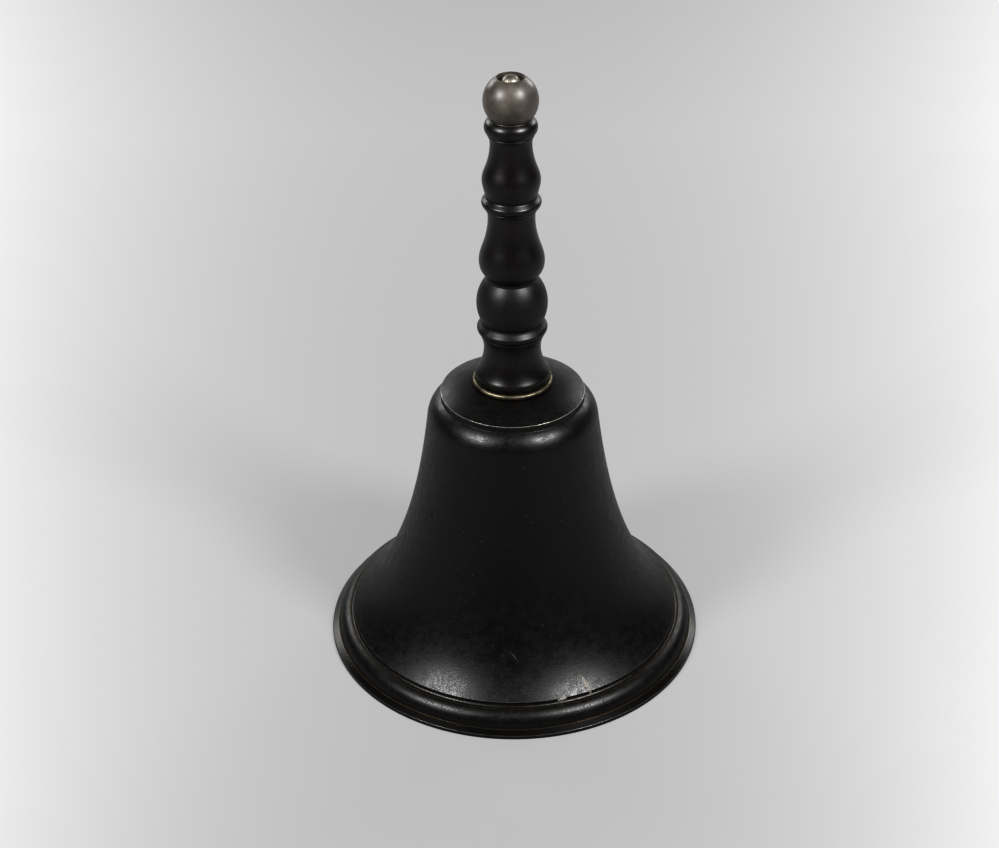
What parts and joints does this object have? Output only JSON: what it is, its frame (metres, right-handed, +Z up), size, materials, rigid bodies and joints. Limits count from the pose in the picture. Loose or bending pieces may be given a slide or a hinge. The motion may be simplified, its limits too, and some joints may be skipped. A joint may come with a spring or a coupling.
{
  "type": "hand bell",
  "caption": "Hand bell: flared cast cup with a beaded rim and a dark satin bronzed finish, turned dark wood handle with beads and a ball end, and a free-swinging clapper inside.",
  "frame": {"origin": "centre of the flat mouth rim that the bell stands on", "axes": "+Z up along the bell's axis through the handle; +Y is away from the viewer and the clapper's main swing is in the YZ plane"},
  "size_m": [0.12, 0.12, 0.1904],
  "materials": {
    "bronzed_bell_metal": "chemically darkened bell metal, waxed to a dark satin",
    "ebonised_wood": "black-stained close-grained hardwood, rubbed to a satin polish",
    "brass": "dull turned brass",
    "steel": "dull mild steel",
    "leather": "vegetable-tanned hide",
    "clapper_iron": "turned cast iron"
  },
  "bodies": {
    "bell": {"bell_cup": "bronzed_bell_metal", "foot_washer": "brass", "handle": "ebonised_wood", "tie_rod": "steel", "rivet_rove": "brass", "crown_gasket": "leather", "inner_washer": "steel", "clamp_nut": "steel", "lock_nut": "steel", "clapper_eye": "steel"},
    "link": {"clapper_link": "steel"},
    "clapper": {"clapper_shank": "steel", "clapper_ball": "clapper_iron"}
  },
  "joints": [
    {"name": "clapper_swing", "type": "hinge", "parent": "bell", "child": "link", "pos_m": [0, 0, 0.0628], "axis": [1, 0, 0], "range_deg": [-33, 33]},
    {"name": "clapper_side_swing", "type": "hinge", "parent": "link", "child": "clapper", "pos_m": [0, 0, 0.05505], "axis": [0, 1, 0], "range_deg": [-10, 10]}
  ]
}
